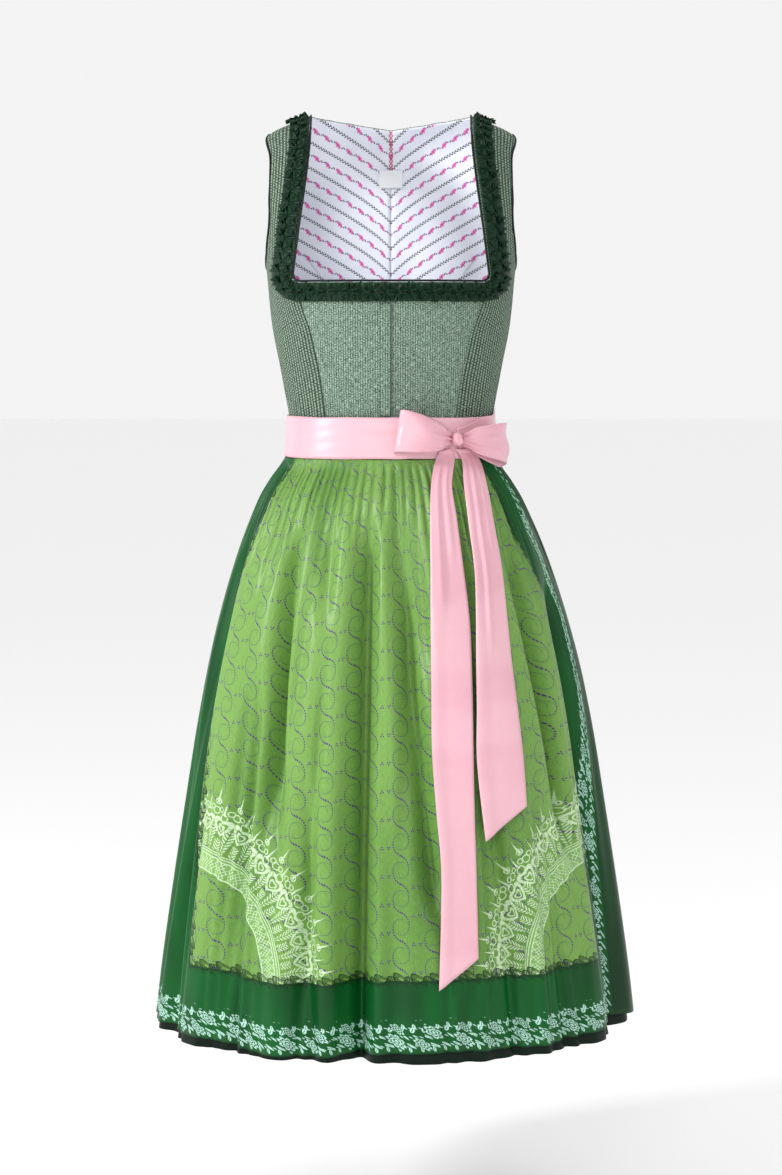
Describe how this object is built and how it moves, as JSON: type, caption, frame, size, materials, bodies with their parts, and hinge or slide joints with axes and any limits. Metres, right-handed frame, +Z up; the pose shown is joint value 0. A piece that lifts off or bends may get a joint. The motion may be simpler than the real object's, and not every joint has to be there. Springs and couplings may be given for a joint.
{
  "type": "dirndl dress with apron",
  "caption": "Sleeveless dirndl dress with a square neck, ruched trim, gathered skirt, and a printed apron tied in a ribbon bow; hollow, as worn.",
  "frame": {"origin": "between the tops of the shoulder straps, where the wearer carries the dress", "axes": "+Z up, -Y towards the front, +X towards the wearer's left, where the bow is tied"},
  "size_m": [0.6035, 0.5165, 1.1335],
  "materials": {
    "tweed_centre": "woven linen-look tweed, matt",
    "tweed_side": "dotted twill, matt",
    "lining": "printed cotton",
    "trim": "pleated satin ruching and piping",
    "label": "plain woven patch",
    "skirt": "smooth dark cotton satin",
    "apron": "printed satin",
    "ribbon": "pink satin ribbon"
  },
  "bodies": {
    "root": {"front_center_l": "tweed_centre", "front_center_r": "tweed_centre", "front_side_l": "tweed_side", "front_side_r": "tweed_side", "fly_placket": "tweed_centre", "back_center": "tweed_side", "back_side_l": "tweed_side", "back_side_r": "tweed_side", "lining_back_l": "lining", "lining_back_r": "lining", "label": "label", "neck_ruching": "trim", "neck_piping": "trim", "armhole_piping_l": "trim", "armhole_piping_r": "trim", "skirt_front": "skirt", "skirt_back": "skirt", "apron": "apron", "apron_waistband": "ribbon", "tie_a": "ribbon", "tie_b": "ribbon", "bow_loop_left": "ribbon", "bow_loop_right": "ribbon", "bow_tail_long": "ribbon", "bow_tail_short": "ribbon", "bow_knot": "ribbon"}
  },
  "joints": []
}
